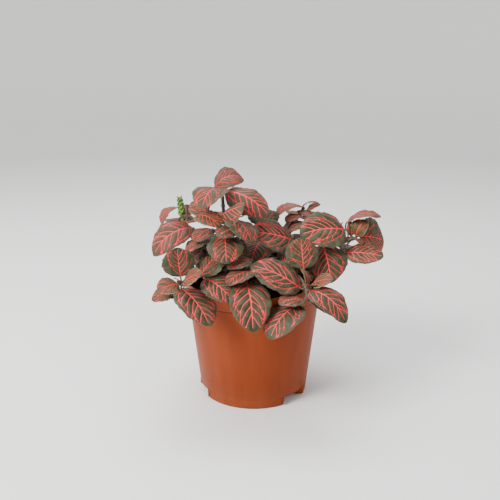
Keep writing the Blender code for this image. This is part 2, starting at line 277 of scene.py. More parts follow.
# the nursery pot, in millimetres
pot = dict(
    height=103.5,
    rimRadius=60.0,
    baseRadius=46.9,
    wall=1.3,
    bandHeight=13.0,
    rimStep=1.0,
    rimDraft=1.2,
    floorRise=8.0,
    padRadius=20.0,
    padSlope=3.0,
    notchCount=3,
    notchWidth=27.0,
    notchDepth=5.5,
    notchTaper=0.6,
    notchFirst=-42.0,
    notchRound=1.6,
    footRound=4.5,
    drainCount=6,
    drainRadius=3.0,
    drainRing=34.0,
    drainCut=(15.0, 2.0),  # heights that the drain holes are cut between
    partingLine=8.6,  # height of the groove that the mould leaves
    edgeRound=0.3,
    steps=180,
    colour=(0.192, 0.0315, 0.0066),
    paleColour=(0.213, 0.038, 0.009),
    # painted shade: dark colour for the line under the rim band's step
    rimShadeColour=(0.05, 0.012, 0.005),
    scuffColour=(0.25, 0.07, 0.030),
)


def bandBottom():
    return pot["height"] - pot["bandHeight"]


def wallTop():
    return pot["rimRadius"] - pot["rimDraft"] - pot["rimStep"]


def wallRadius(z):
    return pot["baseRadius"] + (wallTop() - pot["baseRadius"]) * z / bandBottom()


def roundCorner(before, corner, after, radius, steps=4):  # points of a fillet at a profile corner
    before, corner, after = (np.array(p, float) for p in (before, corner, after))
    toBefore = (before - corner) / np.linalg.norm(before - corner)
    toAfter = (after - corner) / np.linalg.norm(after - corner)
    first, last = corner + toBefore * radius, corner + toAfter * radius
    return [
        tuple(first * (1 - t) ** 2 + corner * 2 * t * (1 - t) + last * t**2)
        for t in np.linspace(0, 1, steps)
    ]


def filleted(profile, radii):  # profile points with the corners in radii rounded
    found = []
    for index, point in enumerate(profile):
        if index in radii:
            found += roundCorner(profile[index - 1], point, profile[index + 1], radii[index])
        else:
            found.append(point)
    return found


def potProfile():  # (radius, z) up the inside, over the lip and down the outside
    wall, rise, band = pot["wall"], pot["floorRise"], bandBottom()
    bandRadius = wallTop() + pot["rimStep"]
    groove = pot["partingLine"]
    points = [
        (0.0, wall),
        (pot["padRadius"] - wall, wall),
        (pot["padRadius"] + pot["padSlope"] - wall, rise + wall),
        (wallRadius(rise + wall) - wall, rise + wall),
        (wallTop() - wall, band - 0.6),
        (bandRadius - wall, band + pot["rimStep"]),
        (pot["rimRadius"] - wall, pot["height"]),
        (pot["rimRadius"], pot["height"]),
        (bandRadius, band),
        (wallTop() - 0.45, band - 0.3),
        (wallTop() - 0.3, band - 1.1),
        (wallRadius(groove + 0.5), groove + 0.5),
        (wallRadius(groove) - 0.16, groove),
        (wallRadius(groove - 0.5), groove - 0.5),
        (pot["baseRadius"], 0.0),
        (pot["baseRadius"] - wall, 0.0),
        (wallRadius(rise) - wall, rise),
        (pot["padRadius"] + pot["padSlope"], rise),
        (pot["padRadius"], 0.0),
        (0.0, 0.0),
    ]
    radii = {1: 1.0, 2: 1.0, 3: 0.8, 4: 0.5, 5: 0.5, 6: 0.55, 7: 0.55, 8: 0.25, 9: 0.15}
    radii.update({14: 0.5, 15: 0.4, 16: 0.8, 17: 1.0, 18: 1.0})
    return filleted(points, radii)


def turned(profile, steps):  # closed body of revolution; the profile starts and ends on the axis
    rings = [ringAt(r, z, steps) for r, z in profile[1:-1]]
    return closedRings(rings, (0, 0, profile[0][1]), (0, 0, profile[-1][1]))


def prism(outline, radii, angle, grow):  # outline of (across, z) swept outward, wider further out
    rings = []
    for reach in radii:
        notchEnd = pot["baseRadius"] - pot["notchDepth"]
        taper = pot["notchTaper"] + (1 - pot["notchTaper"]) * (reach - notchEnd) / pot["notchDepth"]
        wide = pot["notchWidth"] * taper / 2 + grow
        spread = np.array([(reach, side * wide, z) for side, z in outline])
        c, s = math.cos(angle), math.sin(angle)
        x = spread[:, 0] * c - spread[:, 1] * s
        y = spread[:, 0] * s + spread[:, 1] * c
        rings.append(np.stack([x, y, spread[:, 2]], axis=1))
    count = len(outline)
    faces = [(i, (i + 1) % count, count + (i + 1) % count, count + i) for i in range(count)]
    return np.vstack(rings), [tuple(range(count))[::-1], *faces, tuple(range(count, 2 * count))]


def notchOutline(low, high, radius, flare=0.0):  # across runs -1 to 1; the corners are rounded
    share = radius / (pot["notchWidth"] / 2)
    outline = [(-1.0, low), (1.0, low)]
    if flare:
        wider = flare / (pot["notchWidth"] / 2)
        turns = np.linspace(0, math.pi / 2, 6)
        right = [(1 + wider * (1 - math.sin(t)), flare * (1 - math.cos(t))) for t in turns]
        outline = [(-1.0 - wider, low), (1.0 + wider, low), *right]
    for side, start in ((1, 0.0), (-1, math.pi / 2)):
        for turn in np.linspace(start, start + math.pi / 2, 6):
            across = side * (1 - share) + share * math.cos(turn)
            outline.append((across, high - radius + radius * math.sin(turn)))
    if flare:
        outline += [(-across, z) for across, z in right[::-1]]
    return outline


def mergedBodies(bodies):
    points, faces = [], []
    for more, moreFaces in bodies:
        start = sum(len(p) for p in points)
        points.append(np.asarray(more))
        faces += [tuple(start + i for i in face) for face in moreFaces]
    return np.vstack(points), faces


def cutWith(target, body, operation):
    points, faces = body
    tool = meshObject("tool", np.asarray(points) * mm, faces, [])
    work = bmesh.new()
    work.from_mesh(tool.data)
    bmesh.ops.recalc_face_normals(work, faces=work.faces)
    work.to_mesh(tool.data)
    work.free()
    step = target.modifiers.new("step", "BOOLEAN")
    step.operation = operation
    step.solver = "EXACT"
    step.object = tool
    bakeModifiers(target)
    bpy.data.objects.remove(tool)


def makePotMaterial():
    finish, tree, shader, where = newMaterial("terracottaPlastic", specular=0.12)
    flow = remap(tree, noiseOf(tree, stretched(tree, where, (1.0, 1.0, 0.12)), 90.0, 4.0), 0.35, 0.7)
    colour = mixColours(tree, flow, pot["colour"], pot["paleColour"])
    height = add(tree, "SeparateXYZ", {"Vector": where}).outputs["Z"]
    footDust = multiply(tree, remap(tree, height, 0.022, 0.0), noiseOf(tree, where, 160.0))
    lipWear = multiply(tree, remap(tree, height, 0.1028, 0.1036), noiseOf(tree, where, 220.0))
    wear = multiply(tree, calc(tree, "MAXIMUM", footDust, lipWear), 0.55)
    colour = mixColours(tree, wear, colour, pot["scuffColour"])
    # painted shade: a dark line just under the rim band, where the band's step casts its shadow
    under = remap(tree, height, 0.0882, 0.0902)
    rimShadeLine = multiply(tree, under, remap(tree, height, 0.0907, 0.0903))
    colour = mixColours(tree, multiply(tree, rimShadeLine, 0.75), colour, pot["rimShadeColour"])
    paint(tree, shader, colour)
    speckle = noiseOf(tree, where, 900.0, 2.0)
    tree.links.new(remap(tree, speckle, 0.3, 0.7, 0.42, 0.58), shader.inputs["Roughness"])
    lines = noiseOf(tree, stretched(tree, where, (0.0, 0.0, 1.0)), 700.0, 2.0)
    skin = calc(tree, "ADD", multiply(tree, lines, 0.5), speckle)
    bumpInto(tree, shader, skin, 0.18, 0.00012)
    return finish


def makePot():
    points, faces = turned(potProfile(), pot["steps"])
    made = meshObject("nursery_pot", np.asarray(points) * mm, faces, [makePotMaterial()])
    angles = [
        math.radians(pot["notchFirst"] + 360.0 / pot["notchCount"] * n)
        for n in range(pot["notchCount"])
    ]
    end, wall, rise = pot["baseRadius"] - pot["notchDepth"], pot["wall"], pot["floorRise"]
    flange = notchOutline(0.0, rise + wall / 2, pot["notchRound"] + wall / 2)
    reach = (end, pot["baseRadius"] - wall / 2)
    cutWith(made, mergedBodies([prism(flange, reach, a, wall) for a in angles]), "UNION")
    notch = notchOutline(-rise, rise, pot["notchRound"], pot["footRound"])
    reach = (end - wall, pot["baseRadius"] + 2)
    cutWith(made, mergedBodies([prism(notch, reach, a, 0.0) for a in angles]), "DIFFERENCE")
    drains = []
    (top, low), radius = pot["drainCut"], pot["drainRadius"]
    for n in range(pot["drainCount"]):
        turn = math.tau * n / pot["drainCount"]
        body, sides = turned([(0, top), (radius, top), (radius, low), (0, low)], 24)
        shift = (pot["drainRing"] * math.cos(turn), pot["drainRing"] * math.sin(turn), 0.0)
        drains.append((body + np.array(shift), sides))
    cutWith(made, mergedBodies(drains), "DIFFERENCE")
    soften = made.modifiers.new("soften", "BEVEL")
    soften.width = pot["edgeRound"] * mm
    soften.segments = 2
    soften.limit_method = "ANGLE"
    soften.angle_limit = math.radians(50)
    bakeModifiers(made)
    markSharp(made.data, 40)
    addPiece(made, "terracotta_plastic", "pot")
    print("pot ready:", len(made.data.polygons), "faces")


# the soil and its crumbs, in millimetres
soil = dict(
    drop=14.0,
    crown=4.0,
    clearance=0.35,
    rings=64,
    steps=200,
    lumps=0.9,
    lumpSpan=6.0,
    lumpSeed=5,
    crumbs=420,
    crumbSeed=11,
    crumbSizes=(0.5, 1.7),
    darkColour=(0.012, 0.007, 0.0045),
    paleColour=(0.05, 0.03, 0.018),
    fibreColour=(0.12, 0.075, 0.04),
)


def ripple(x, y, seed, scale):  # smooth repeatable unevenness, about -1 to 1
    rng = np.random.default_rng(seed)
    total = np.zeros_like(x)
    for octave in range(5):
        for _ in range(3):
            angle, phase = rng.uniform(0, math.tau, 2)
            wave = 1.7**octave / scale
            total += np.sin((x * math.cos(angle) + y * math.sin(angle)) * wave + phase) / 1.5**octave
    return total / 4.0


def soilLevel():
    return pot["height"] - soil["drop"]


def soilTop(x, y):
    outer = wallRadius(soilLevel()) - pot["wall"]
    share = np.clip(np.hypot(x, y) / outer, 0, 1)
    crown = soilLevel() + soil["crown"] * (1 - share**2) ** 1.2
    uneven = ripple(x, y, soil["lumpSeed"], soil["lumpSpan"])
    return crown + soil["lumps"] * uneven * (0.35 + 0.65 * (1 - share**8))


def makeSoilMaterial():
    finish, tree, shader, where = newMaterial("pottingSoil", roughness=0.95, specular=0.2)
    grain = noiseOf(tree, where, 420.0, 6.0, 0.7)
    colour = mixColours(tree, remap(tree, grain, 0.35, 0.7), soil["darkColour"], soil["paleColour"])
    fleck = add(tree, "TexVoronoi", {"Vector": where, "Scale": 260.0}).outputs["Distance"]
    colour = mixColours(tree, remap(tree, fleck, 0.16, 0.06), colour, soil["fibreColour"])
    paint(tree, shader, colour)
    bumpInto(tree, shader, noiseOf(tree, where, 900.0, 5.0, 0.7), 0.8, 0.0006)
    return finish


def makeSoil():
    finish = makeSoilMaterial()
    low = pot["floorRise"] + pot["wall"] + soil["clearance"]
    outer = wallRadius(soilLevel()) - pot["wall"] - soil["clearance"]
    reaches = [outer * ring / soil["rings"] for ring in range(1, soil["rings"] + 1)]
    rings = [ringAt(reach, 0.0, soil["steps"]) for reach in reaches]
    for ring in rings:
        ring[:, 2] = soilTop(ring[:, 0], ring[:, 1])
    rings.append(ringAt(wallRadius(low) - pot["wall"] - soil["clearance"], low, soil["steps"]))
    top = soilTop(np.zeros(1), np.zeros(1))[0]
    points, faces = closedRings(rings, (0, 0, top), (0, 0, low))
    made = meshObject("potting_soil", points * mm, faces, [finish])
    addPiece(made, "potting_soil", "soil")
    makeCrumbs(finish, outer)


def makeCrumbs(finish, outer):
    rng = np.random.default_rng(soil["crumbSeed"])
    ball = bmesh.new()
    bmesh.ops.create_icosphere(ball, subdivisions=2, radius=1.0)
    shape = np.array([v.co for v in ball.verts])
    sides = [[v.index for v in face.verts] for face in ball.faces]
    ball.free()
    bodies = []
    for _ in range(soil["crumbs"]):
        size = rng.uniform(*soil["crumbSizes"]) * rng.uniform(0.6, 1.0)
        reach, turn = (outer - 2.5) * math.sqrt(rng.random()), rng.uniform(0, math.tau)
        x, y = reach * math.cos(turn), reach * math.sin(turn)
        z = soilTop(np.array([x]), np.array([y]))[0]
        dents = 1 + 0.22 * np.sin(shape @ rng.normal(0, 2.6, 3) + rng.uniform(0, 6))
        grain = shape * dents[:, None] * rng.uniform(0.6, 1.0, 3) * size
        bodies.append((grain + (x, y, z + 0.15 * size), sides))
    points, faces = mergedBodies(bodies)
    made = meshObject("soil_crumbs", points * mm, faces, [finish])
    addPiece(made, "potting_soil")
    print("soil ready:", soil["crumbs"], "crumbs")


# foot of each stem on the soil, then points above the rim's plane, in millimetres from its centre
stemPaths = {
    "top": ((-12, 6), [(-18, 5, 15), (-25, 3, 50), (-27, 1, 77)]),
    "spike": ((-28, 10), [(-42, 8, 14), (-56, 4, 38), (-61, 2, 51)]),
    "middle": ((-16, -10), [(-22, -10, 14), (-29, -12, 38), (-30, -15, 56)]),
    "left": ((-30, -16), [(-38, -24, 10), (-51, -38, 12), (-59, -46, 7)]),
    "front": ((-4, -22), [(-6, -26, 8), (-8, -33, 14), (-8, -42, 11)]),
    "low": ((24, -20), [(30, -28, 10), (38, -42, 10), (42, -50, 4)]),
    "centre": ((12, -4), [(20, -6, 14), (32, -12, 26), (42, -14, 30)]),
    "right": ((34, 6), [(50, 4, 16), (72, 1, 28), (88, 0, 34)]),
    "back": ((20, 24), [(28, 28, 20), (38, 31, 42), (45, 33, 54)]),
    "rear": ((-12, 28), [(-13, 36, 14), (-16, 46, 30), (-18, 52, 42)]),
}

shoots = dict(
    radius=2.0,
    tipShare=0.78,
    buried=18.0,
    sides=14,
    samples=12,
    jointSpacing=15.0,
    ringSpacing=0.8,
    swelling=0.28,
    swellingSpan=1.1,
    brown=(0.035, 0.021, 0.012),
    green=(0.075, 0.080, 0.026),
    red=(0.075, 0.034, 0.020),
    budGreen=(0.11, 0.17, 0.035),
)


def unit(vector):
    return vector / np.linalg.norm(vector)


def smoothCurve(points, samples):  # Catmull-Rom curve through the points
    ends = np.vstack([2 * points[0] - points[1], points, 2 * points[-1] - points[-2]])
    found = []
    for p0, p1, p2, p3 in zip(ends, ends[1:], ends[2:], ends[3:]):
        for t in np.arange(samples) / samples:
            bend = (2 * p0 - 5 * p1 + 4 * p2 - p3) * t**2 + (3 * p1 - p0 - 3 * p2 + p3) * t**3
            found.append(0.5 * (2 * p1 + (p2 - p0) * t + bend))
    return np.array(found + [points[-1]])


def stemCurve(name, samples):
    (x, y), above = stemPaths[name]
    surface = soilLevel() - pot["height"]
    foot = (x, y, surface + soil["crown"])
    curve = smoothCurve(np.vstack([[foot], np.array(above, float)]), samples)
    return np.vstack([[(x, y, surface - shoots["buried"])], curve])


def lengthsAlong(points):  # distance from the curve's start to each of its points
    return np.concatenate([[0.0], np.cumsum(np.linalg.norm(np.diff(points, axis=0), axis=1))])


def pointOn(points, share):  # place and direction at a share of the length above the soil
    along = lengthsAlong(points)
    want = along[1] + share * (along[-1] - along[1])
    place = np.array([np.interp(want, along, points[:, axis]) for axis in range(3)])
    index = min(int(np.searchsorted(along, want, side="right")) - 1, len(points) - 2)
    return place, unit(points[index + 1] - points[index])


def tube(points, radii, sides):  # closed round tube along the points
    points = np.asarray(points, float)
    ways = np.gradient(points, axis=0)
    ways /= np.linalg.norm(ways, axis=1)[:, None]
    across = unit(np.cross(ways[0], (0.3, 0.9, 0.2)))
    turn = np.arange(sides) * math.tau / sides
    rings = []
    for point, way, radius in zip(points, ways, radii):
        across = unit(across - way * (across @ way))
        other = np.cross(way, across)
        ring = np.outer(np.cos(turn), across) + np.outer(np.sin(turn), other)
        rings.append(point + ring * radius)
    start, end = points[0] - ways[0] * radii[0] * 0.3, points[-1] + ways[-1] * radii[-1] * 0.6
    body, faces = closedRings(rings, start, end)
    return body, [(face[0], *face[:0:-1]) for face in faces]  # turned to face out


def makeStemMaterial():
    finish, tree, shader, where = newMaterial("stemSkin", roughness=0.6, sheen=0.25, sheenRoughness=0.4)
    grain = noiseOf(tree, where, 260.0, 4.0)
    height = attribute(tree, "alongStem")
    tinted = mixColours(tree, remap(tree, grain, 0.35, 0.7), shoots["green"], shoots["red"])
    colour = mixColours(tree, remap(tree, height, 0.95, 0.35), tinted, shoots["brown"])
    joint = attribute(tree, "joint")
    colour = mixColours(tree, multiply(tree, joint, 0.6), colour, shoots["green"])
    colour = mixColours(tree, remap(tree, height, 0.93, 1.0), colour, shoots["budGreen"])
    paint(tree, shader, colour)
    lengthwise = stretched(tree, where, (1.0, 1.0, 0.2))
    bumpInto(tree, shader, noiseOf(tree, lengthwise, 1500.0, 3.0), 0.5, 0.0002)
    return finish


def makeStems():
    finish = makeStemMaterial()
    for name in stemPaths:
        points = stemCurve(name, shoots["samples"])
        along = lengthsAlong(points)
        dense = np.linspace(0, along[-1], int(along[-1] / shoots["ringSpacing"]))
        path = np.stack([np.interp(dense, along, points[:, a]) for a in range(3)], axis=1)
        share = dense / dense[-1]
        fromTip = (dense[-1] - dense) / shoots["jointSpacing"]
        near = np.abs(fromTip - np.round(fromTip)) * shoots["jointSpacing"]
        joint = np.exp(-((near / shoots["swellingSpan"]) ** 2))
        radii = shoots["radius"] * (1 - (1 - shoots["tipShare"]) * share)
        radii = radii * (0.92 + shoots["swelling"] * joint)
        radii[share < 0.2] = shoots["radius"]
        body, faces = tube(path, radii, shoots["sides"])
        spread = np.concatenate([np.repeat(share, shoots["sides"]), [0, 1]])
        joints = np.concatenate([np.repeat(joint, shoots["sides"]), [0, 1]])
        body[:, 2] += pot["height"]
        values = {"alongStem": spread, "joint": joints}
        made = meshObject("shoot_" + name, body * mm, faces, [finish], attributes=values)
        addPiece(made, "brown_green_stem", *([] if name in extraShoots else ["stem_" + name]))
    print("stems ready:", len(stemPaths))


# each leaf: share up its stem, blade base, blade tip, width, roll, arch and fold
leafPlaces = {
    "top": [
        (0.99, (-33, 4, 78), (-9, 12, 83), 20, 40, 0.35, 8),
        (0.98, (-28, -4, 77), (-42, -29, 66), 29, 0, 0.22, 10),
        (0.96, (-23, -3, 75), (13, -18, 57), 27, 32, 0.18, -12),
    ],
    "spike": [
        (0.97, (-66, 14, 58), (-79, 2, 45), 13, 5, 0.28, 8),
        (0.8, (-52, -4, 44), (-84, -20, 24), 24, -36, 0.3, 6),
        (0.85, (-58, 12, 44), (-70, 46, 34), 28, 0, 0.15, 8),
    ],
    "middle": [
        (0.97, (-39, -8, 58), (-54, 2, 64), 17, -35, 0.1, 10),
        (0.96, (-47, -18, 58), (-27, -34, 52), 18, 20, 0.15, 8),
        (0.98, (-28, -22, 58), (-8, -36, 70), 20, 45, 0.05, -20),
        (0.88, (-18, -24, 56), (-2, -44, 41), 29, -12, 0.14, 6),
        (0.78, (-35, -16, 46), (-48, -30, 38), 20, 0, 0.15, 8),
    ],
    "left": [
        (0.97, (-59, -46, 14), (-62, -38, 36), 25, 0, -0.05, 8),
        (0.7, (-43, -41, 13), (-27, -29, 29), 31, 0, 0.08, 6),
        (0.99, (-61, -48, 8), (-76, -58, 6), 18, -25, 0.1, 12),
        (0.85, (-63, -42, 0), (-82, -50, -5), 20, -10, 0.12, 8),
        (0.99, (-56, -53, 11), (-41, -61, 21), 17, 35, 0.1, 10),
        (0.97, (-58, -50, 5), (-34, -80, -15), 29, 0, 0.1, 8),
    ],
    "front": [
        (0.45, (-40, -20, 37), (-55, -30, 30), 20, 0, 0.15, 8),
        (0.6, (-24, -30, 43), (-22, -54, 27), 27, 0, 0.1, 6),
        (0.85, (-39, -46, 12), (-16, -66, 0), 24, 20, 0.12, 8),
        (0.99, (-6, -52, 11), (-1, -82, -19), 30, 0, 0.16, 8),
        (0.75, (-3, -38, 26), (-22, -46, 21), 20, -10, 0.12, 6),
        (0.9, (-2, -46, 19), (-21, -62, 12), 22, 0, 0.12, 6),
    ],
    "low": [
        (0.9, (35, -60, -5), (12, -84, -24), 31, 0, 0.15, 8),
        (0.96, (37, -52, 6), (-3, -48, 24), 32, -25, 0.08, 8),
        (0.99, (43, -57, 6), (70, -78, -13), 25, 10, 0.2, 8),
        (0.99, (47, -49, 9), (62, -57, 15), 16, 25, 0.1, 8),
        (0.85, (44, -50, -2), (59, -56, -13), 20, 0, 0.12, 8),
        (0.99, (38, -62, 0), (19, -72, 0), 18, -10, 0.1, 8),
    ],
    "centre": [
        (0.85, (32, -6, 34), (-2, -24, 45), 32, -40, 0.06, 8),
        (0.97, (40, -40, 19), (38, -28, 42), 25, 0, 0.0, 8),
        (0.97, (58, -10, 32), (64, -32, 4), 33, 14, 0.16, -10),
        (0.7, (7, 0, 32), (-2, -24, 20), 30, 0, 0.12, 8),
    ],
    "right": [
        (0.9, (77, -5, 43), (38, -20, 42), 34, -40, 0.1, 8),
        (0.97, (80, 1, 48), (107, -8, 54), 17, 8, 0.2, 8),
        (0.99, (90, -5, 37), (113, 6, 30), 34, 62, 0.12, 4),
        (0.93, (78, -14, 25), (107, -26, 25), 22, 30, 0.05, 8),
        (0.45, (62, 10, 24), (86, 36, 12), 28, 0, 0.15, 8),
    ],
    "back": [
        (0.6, (10, 4, 44), (6, 20, 56), 26, 0, 0.1, 8),
        (0.97, (44, 30, 55), (19, 18, 49), 18, 0, 0.2, 8),
        (0.92, (44, 40, 44), (50, 74, 34), 30, 0, 0.15, 8),
        (0.55, (36, 38, 26), (32, 68, 8), 30, 0, 0.15, 8),
    ],
    "rear": [
        (0.98, (-22, 57, 42), (-36, 86, 30), 30, 0, 0.15, 8),
        (0.97, (-9, 54, 42), (13, 80, 34), 28, 0, 0.15, 8),
        (0.6, (-22, 48, 24), (-46, 70, 10), 30, 0, 0.15, 8),
        (0.65, (-12, 50, 22), (8, 78, 4), 30, 0, 0.15, 8),
    ],
}

blade = dict(
    rows=91,
    columns=61,
    thickness=0.55,
    stalkRadii=(1.0, 0.72, 0.75, 0.35),  # at the stem, past its swollen foot, at the blade, under it
    edgeDroop=0.16,
    quilt=0.5,
    ribs=0.3,
    wave=0.45,
    veinPairs=6,
    veinReach=(0.78, 0.9),
    fullness=1.1,
    midribRadii=(0.54, 0.19),
    sideRadii=(0.27, 0.12),
    firstSeed=100,
    sprigSeed=300,
    sprigDetail=0.45,
)

leafColours = dict(
    green=(0.018, 0.036, 0.014),
    greyGreen=(0.064, 0.068, 0.038),
    olive=(0.085, 0.062, 0.028),
    # painted sheen: the mauve look the hairy blade takes when seen at a grazing angle
    sheenMauve=(0.135, 0.060, 0.047),
    halo=(0.13, 0.030, 0.020),
    veinRed=(0.62, 0.004, 0.010),
    veinPink=(0.92, 0.048, 0.060),
    youngVein=(0.85, 0.055, 0.035),
    youngEdge=(0.30, 0.28, 0.13),
    under=(0.11, 0.075, 0.045),
    underMauve=(0.13, 0.045, 0.035),
    stalk=(0.12, 0.09, 0.035),
    sheen=(1.0, 0.72, 0.66),
)

# how young (orange, pale-edged) a leaf is, and how much painted mauve sheen its top carries; the rest
# are (0, 0.15)
leafTones = {
    "top_1": (0.1, 0.75),
    "top_2": (0.1, 0.35),
    "top_3": (0.0, 0.55),
    "spike_1": (0.1, 1.0),
    "spike_2": (0.0, 0.65),
    "middle_1": (0.4, 0.3),
    "middle_2": (0.6, 0.1),
    "middle_3": (0.3, 0.1),
    "left_3": (0.8, 0.2),
    "left_4": (0.5, 0.5),
    "left_5": (0.9, 0.1),
    "low_4": (0.8, 0.0),
    "right_2": (0.2, 0.8),
    "right_3": (0.0, 0.4),
    "back_2": (0.2, 0.8),
}


def halfWidth(share):
    rise, fall = 0.5, 0.62
    widest = rise / (rise + fall)
    return (share / widest) ** rise * ((1 - share) / (1 - widest)) ** fall


def leafFrame(base, tip, roll):
    along = unit(tip - base)
    up = np.array([0.0, 0.0, 1.0])
    normal = unit(up - along * (up @ along))
    across = np.cross(normal, along)
    turn = math.radians(roll)
    return (
        along,
        across * math.cos(turn) + normal * math.sin(turn),
        normal * math.cos(turn) - across * math.sin(turn),
    )


def growVeins(length, wide, rng):  # segments (x, y, x, y, radius, radius) on the flat blade
    size = length / 40
    segments = []
    stations = np.linspace(0, 0.93, 18)
    drift = np.cumsum(rng.normal(0, 0.05, 18)) * size
    drift -= np.linspace(0, drift[-1], 18)
    widths = np.linspace(*blade["midribRadii"], 18) * size
    for i in range(17):
        ends = (stations[i] * length, drift[i], stations[i + 1] * length, drift[i + 1])
        segments.append((*ends, widths[i], widths[i + 1]))

    def grow(x, y, heading, radius, limit, budget, forks):  # one side vein, with its forks
        step = 1.3 * size
        side = 1 if heading > 0 else -1
        forkAt = rng.uniform(0.34, 0.5)
        while budget > 0:
            reach = abs(y) / max(wide * halfWidth(min(max(x / length, 0.01), 0.99)), 0.1)
            if reach > limit or x > 0.92 * length:
                break
            x2, y2 = x + step * math.cos(heading), y + step * math.sin(heading)
            thinner = max(radius * 0.955, 0.1 * size)
            segments.append((x, y, x2, y2, radius, thinner))
            x, y, radius, budget = x2, y2, thinner, budget - step
            heading += -side * 0.052 * (0.4 + reach) + rng.normal(0, 0.05)
            if forks and reach > forkAt:
                away = heading + side * rng.uniform(0.32, 0.48)
                grow(x, y, away, radius * 0.85, limit, 0.12 * length, 0)
                heading -= side * 0.12
                forkAt += rng.uniform(0.26, 0.4)
            elif forks and rng.random() < 0.12:
                away = heading + rng.choice((-1, 1)) * rng.uniform(0.7, 1.1)
                bit = rng.uniform(0.9, 1.8) * size
                end = (x + bit * math.cos(away), y + bit * math.sin(away))
                segments.append((x, y, *end, radius * 0.6, 0.08 * size))

    pairs = blade["veinPairs"]
    for side in (-1, 1):
        for number in range(pairs):
            share = 0.02 + 0.8 * (number + 0.3 * (side > 0) + rng.uniform(-0.12, 0.12)) / pairs
            share = max(share, 0.015)
            heading = side * (1.05 - 0.42 * share + rng.normal(0, 0.06))
            radius = (blade["sideRadii"][0] - 0.3 * share * blade["sideRadii"][1]) * size
            start = np.interp(share, stations, drift)
            limit = rng.uniform(*blade["veinReach"])
            grow(share * length, start, heading, radius, limit, 2 * wide, 1)
    return segments


def veinDistance(x, y, segments):
    nearest = np.full(x.shape, 5.0)
    for ax, ay, bx, by, ra, rb in segments:
        dx, dy = bx - ax, by - ay
        t = np.clip(((x - ax) * dx + (y - ay) * dy) / (dx * dx + dy * dy + 1e-9), 0, 1)
        away = np.hypot(x - ax - t * dx, y - ay - t * dy) - (ra + (rb - ra) * t)
        nearest = np.minimum(nearest, away)
    return nearest


def bladeSurface(place, u, v):  # smooth middle surface at rows u and columns v
    base, tip, width, roll, arch, fold = place
    base, tip = np.array(base, float), np.array(tip, float)
    along, across, normal = leafFrame(base, tip, roll)
    length, wide = np.linalg.norm(tip - base), width / 2
    shape = np.maximum(wide * halfWidth(np.clip(u, 1e-6, 1 - 1e-6)), np.where(u < 0.5, 0.7, 0.12))
    centre = base + np.outer(u * length, along) + np.outer(4 * arch * length * u * (1 - u), normal)
    way = along + np.outer(4 * arch * (1 - 2 * u), normal)
    way /= np.linalg.norm(way, axis=1)[:, None]
    side = across - way * (way @ across)[:, None]
    side /= np.linalg.norm(side, axis=1)[:, None]
    out = np.cross(way, side)
    soft = np.sqrt(v**2 + 0.006) - math.sqrt(0.006)
    lift = np.outer(shape, math.tan(math.radians(fold)) * soft - blade["edgeDroop"] * v**2)
    return centre, side, out, shape, lift, (base, along, normal, arch, length)


def bladeSamples(place):  # points spread over a leaf, for keeping leaves apart
    u, v = np.linspace(0.02, 0.98, 15), np.linspace(-0.95, 0.95, 9)
    centre, side, out, shape, lift, _ = bladeSurface(place, u, v)
    spread = side[:, None, :] * np.outer(shape, v)[:, :, None] + out[:, None, :] * lift[:, :, None]
    return (centre[:, None, :] + spread).reshape(-1, 3)


def bladeBody(place, rng, rows, columns):
    t = np.linspace(0, 1, rows)
    u = 0.45 * t + 0.55 * (0.5 - 0.5 * np.cos(math.pi * t))
    v = np.linspace(1, -1, columns)
    centre, side, out, shape, lift, facts = bladeSurface(place, u, v)
    length, wide = facts[4], place[2] / 2
    waver = rng.uniform(0, 6, 2)
    shape = shape * (1 + 0.018 * np.sin(u * 31 + waver[0]) + 0.012 * np.sin(u * 53 + waver[1]))
    flatX = np.repeat(u * length, columns)
    flatY = np.outer(shape, v).ravel()
    veins = veinDistance(flatX, flatY, growVeins(length, wide, rng)).reshape(rows, columns)
    edge = np.abs(v)[None, :] * np.ones((rows, 1))
    size = length / 40
    phases = rng.uniform(0, math.tau, 4)
    sway = np.sin(np.outer(u * 17 + phases[0], np.ones(columns)) + 2.2 * v[None, :] + phases[1])
    sway += 0.6 * np.sin(np.outer(u * 29, np.ones(columns)) - 3.0 * v[None, :] + phases[2])
    lift += blade["wave"] * size * edge**2 * sway
    quilt = blade["quilt"] * size * (1 - np.exp(-((np.maximum(veins, 0) / (1.2 * size)) ** 2)))
    quilt *= (1 - edge**6) * np.minimum(1, 12 * u * (1 - u))[:, None]
    ribs = blade["ribs"] * size * np.exp(-((np.maximum(veins, 0) / (0.4 * size)) ** 2))
    ribs *= 1 - edge**6
    thick = blade["thickness"] / 2 * (1 - 0.45 * edge**4)
    middle = centre[:, None, :] + side[:, None, :] * np.outer(shape, v)[:, :, None]
    upper = middle + out[:, None, :] * (lift + quilt + thick)[:, :, None]
    lower = middle + out[:, None, :] * (lift + 0.8 * quilt - thick - ribs)[:, :, None]
    points = np.vstack([upper.reshape(-1, 3), lower.reshape(-1, 3)])
    top, bottom, rim = sheetFaces(rows, columns)
    faces = np.vstack([top, bottom, rim])
    slots = np.concatenate([np.zeros(len(top)), np.ones(len(bottom) + len(rim))]).astype(int)
    values = {
        "vein": np.tile(veins.ravel() / size, 2),
        "alongLeaf": np.tile(np.repeat(u, columns), 2),
        "edgeShare": np.tile(edge.ravel(), 2),
    }
    return points, faces, slots, values, facts


def stalkBody(stem, share, bladeFacts):
    base, along, normal, arch, length = bladeFacts
    start, stemWay = pointOn(stemCurve(stem, 3), share)
    away = base - start
    outward = unit(away - stemWay * (away @ stemWay))
    start = start + outward * 0.9
    bend = base - (along + 4 * arch * normal) * 0.4 * np.linalg.norm(base - start)
    t = np.linspace(0, 1, 10)[:, None]
    path = start * (1 - t) ** 2 + 2 * bend * t * (1 - t) + base * t**2
    under = np.linspace(0.03, 0.16, 4)[:, None]
    keel = base + along * length * under + normal * (4 * arch * length * under * (1 - under) - 0.35)
    path = np.vstack([path, keel])
    return tube(path, np.interp(np.arange(14), [0, 2, 9, 13], blade["stalkRadii"]), 9)


def makeLeafMaterials():
    return [makeLeafTop(), makeLeafUnder(), makeStalkSkin()]


